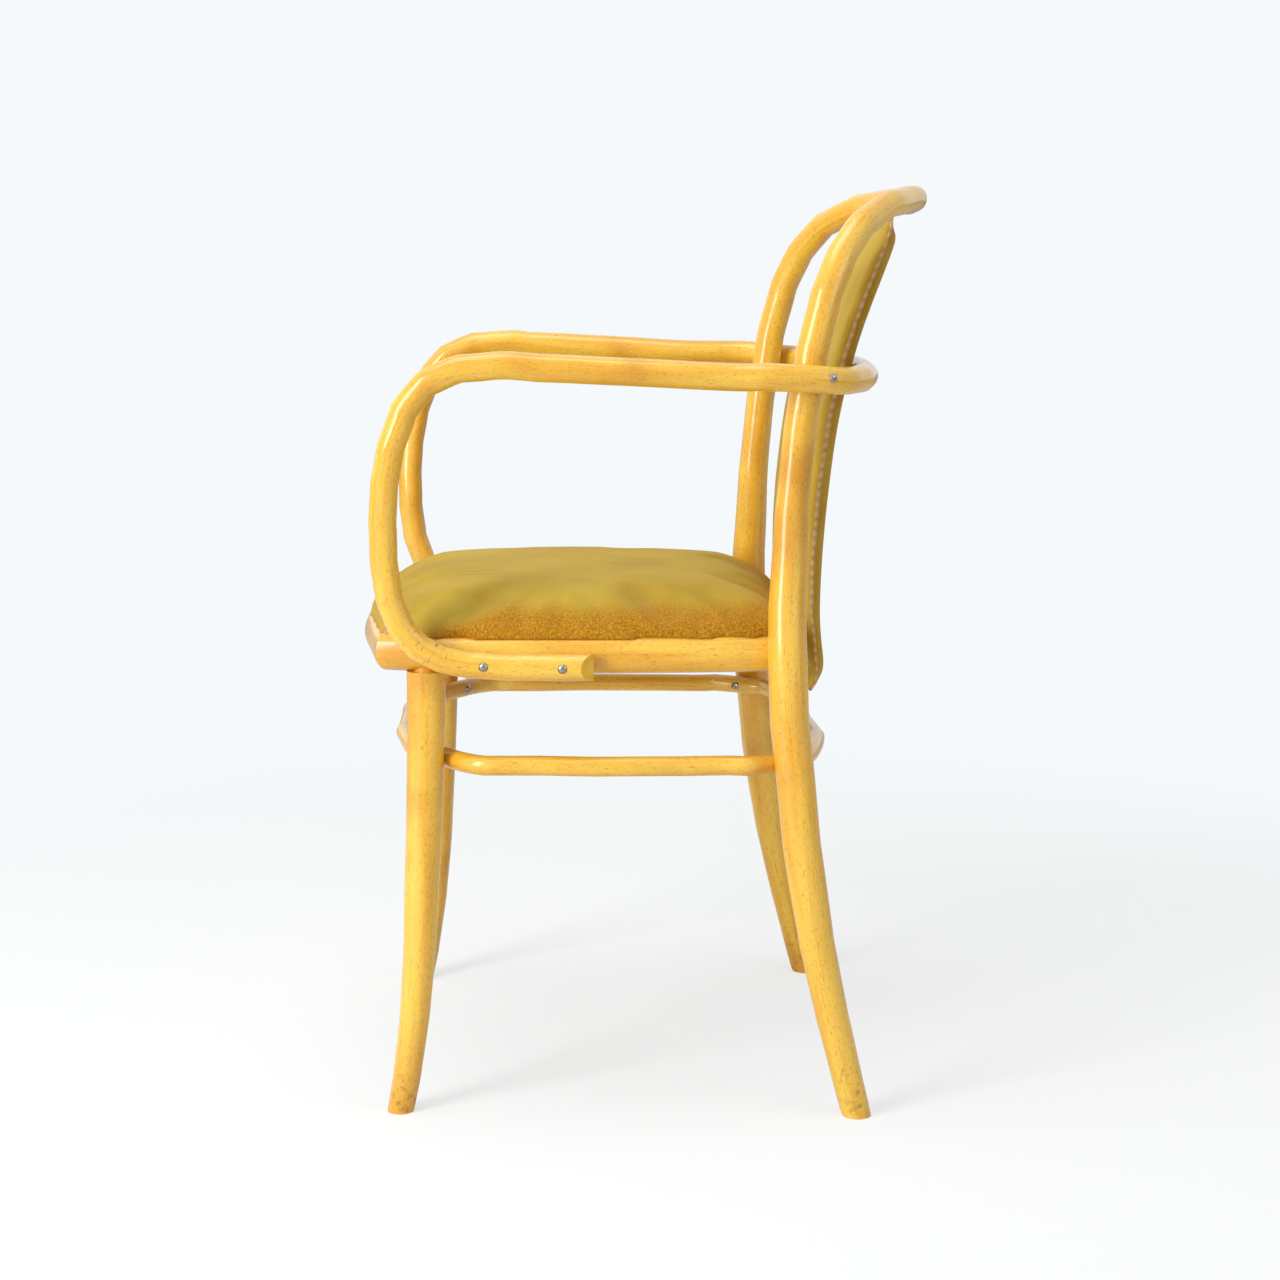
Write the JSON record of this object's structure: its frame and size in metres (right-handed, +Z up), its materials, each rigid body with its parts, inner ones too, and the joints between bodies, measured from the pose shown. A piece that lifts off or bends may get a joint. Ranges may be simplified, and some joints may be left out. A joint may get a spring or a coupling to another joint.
{
  "type": "dining armchair",
  "caption": "Bentwood dining armchair with bent round rods for legs, back and arms, and mustard plush on the seat and back.",
  "frame": {"origin": "on the floor under the middle of the chair", "axes": "+Z up, the sitter faces -Y, +X is the sitter's left"},
  "size_m": [0.5079, 0.5211, 0.8278],
  "materials": {
    "bent_beech": "gloss",
    "plush": "matte",
    "foam": "matte",
    "plywood": "matte",
    "lining_cloth": "matte",
    "polished_steel": "gloss",
    "zinc_steel": "satin"
  },
  "bodies": {
    "root": {"back_bow": "bent_beech", "front_leg_left": "bent_beech", "front_leg_right": "bent_beech", "seat_ring": "bent_beech", "arm_bow": "bent_beech", "stretcher_ring": "bent_beech", "seat_board": "plywood", "seat_padding": "foam", "seat_cover": "plush", "under_seat_cloth": "lining_cloth", "back_board": "plywood", "back_padding_front": "foam", "back_padding_rear": "foam", "back_cover": "plush", "arm_end_screws": "polished_steel", "arm_leg_screws": "polished_steel", "arm_back_screws": "polished_steel", "stretcher_screws": "polished_steel", "panel_screws": "polished_steel", "seat_screws": "zinc_steel", "leg_bolts": "zinc_steel", "leg_bolt_washers": "zinc_steel"}
  },
  "joints": []
}
